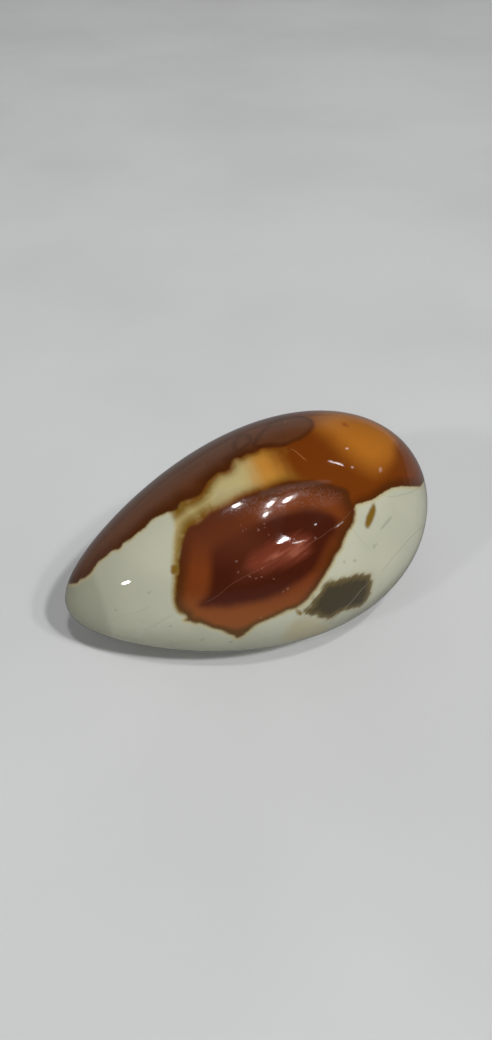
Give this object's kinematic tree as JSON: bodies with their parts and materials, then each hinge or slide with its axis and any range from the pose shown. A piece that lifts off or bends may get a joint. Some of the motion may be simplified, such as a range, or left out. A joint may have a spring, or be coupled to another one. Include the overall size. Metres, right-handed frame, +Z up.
{
  "type": "polished jasper stone",
  "caption": "Hand-sized tumbled and polished stone, a lopsided egg with one blunt and one narrow end, lying on a small ground flat spot.",
  "frame": {"origin": "middle of the stone's footprint box, on the table it lies on", "axes": "+X along the length towards the blunt end, -Y towards the side with the eye-shaped patch, +Z up"},
  "size_m": [0.09, 0.0554, 0.0449],
  "materials": {
    "polished_jasper": "high polish over cream, ochre, orange and dark red-brown patches"
  },
  "bodies": {
    "root": {"jasper_stone": "polished_jasper"}
  },
  "joints": []
}
